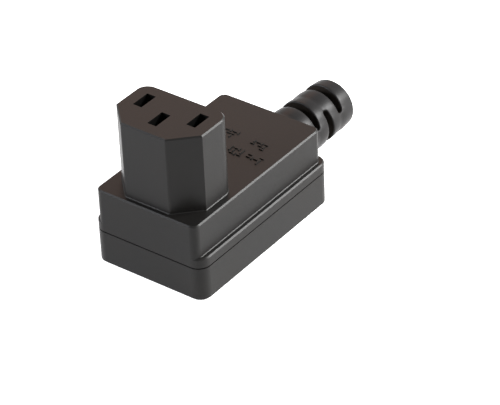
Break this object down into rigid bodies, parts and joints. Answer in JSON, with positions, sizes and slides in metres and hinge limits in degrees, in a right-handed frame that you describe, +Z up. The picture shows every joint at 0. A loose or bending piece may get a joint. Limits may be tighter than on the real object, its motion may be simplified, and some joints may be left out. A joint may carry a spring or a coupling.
{
  "type": "right-angle iec connector",
  "caption": "Right-angle rewireable appliance connector: a chamfered nose with rectangular slots on a stepped two-part housing, with a slotted strain-relief boot at the cord exit.",
  "frame": {"origin": "on the resting plane, straight below the middle of the nose", "axes": "+Z up out of the nose, +Y towards the cord exit, +X across the body"},
  "size_m": [0.0292, 0.0683, 0.0375],
  "materials": {
    "housing_plastic": "fine satin moulded",
    "carrier_plastic": "moulded",
    "boot_rubber": "soft satin moulded",
    "spring_brass": "rolled",
    "terminal_brass": "machined",
    "screw_steel": "zinc plated"
  },
  "bodies": {
    "root": {"upper_housing": "housing_plastic", "base_cover": "housing_plastic", "terminal_carrier": "carrier_plastic", "cord_clamp": "carrier_plastic", "strain_relief_boot": "boot_rubber", "line_contact": "spring_brass", "line_terminal": "terminal_brass", "line_terminal_screw": "screw_steel", "neutral_contact": "spring_brass", "neutral_terminal": "terminal_brass", "neutral_terminal_screw": "screw_steel", "earth_contact": "spring_brass", "earth_terminal": "terminal_brass", "earth_terminal_screw": "screw_steel", "cord_clamp_screw_left": "screw_steel", "cord_clamp_screw_right": "screw_steel", "housing_screw_front_left": "screw_steel", "housing_screw_front_right": "screw_steel", "housing_screw_back_left": "screw_steel", "housing_screw_back_right": "screw_steel"}
  },
  "joints": []
}
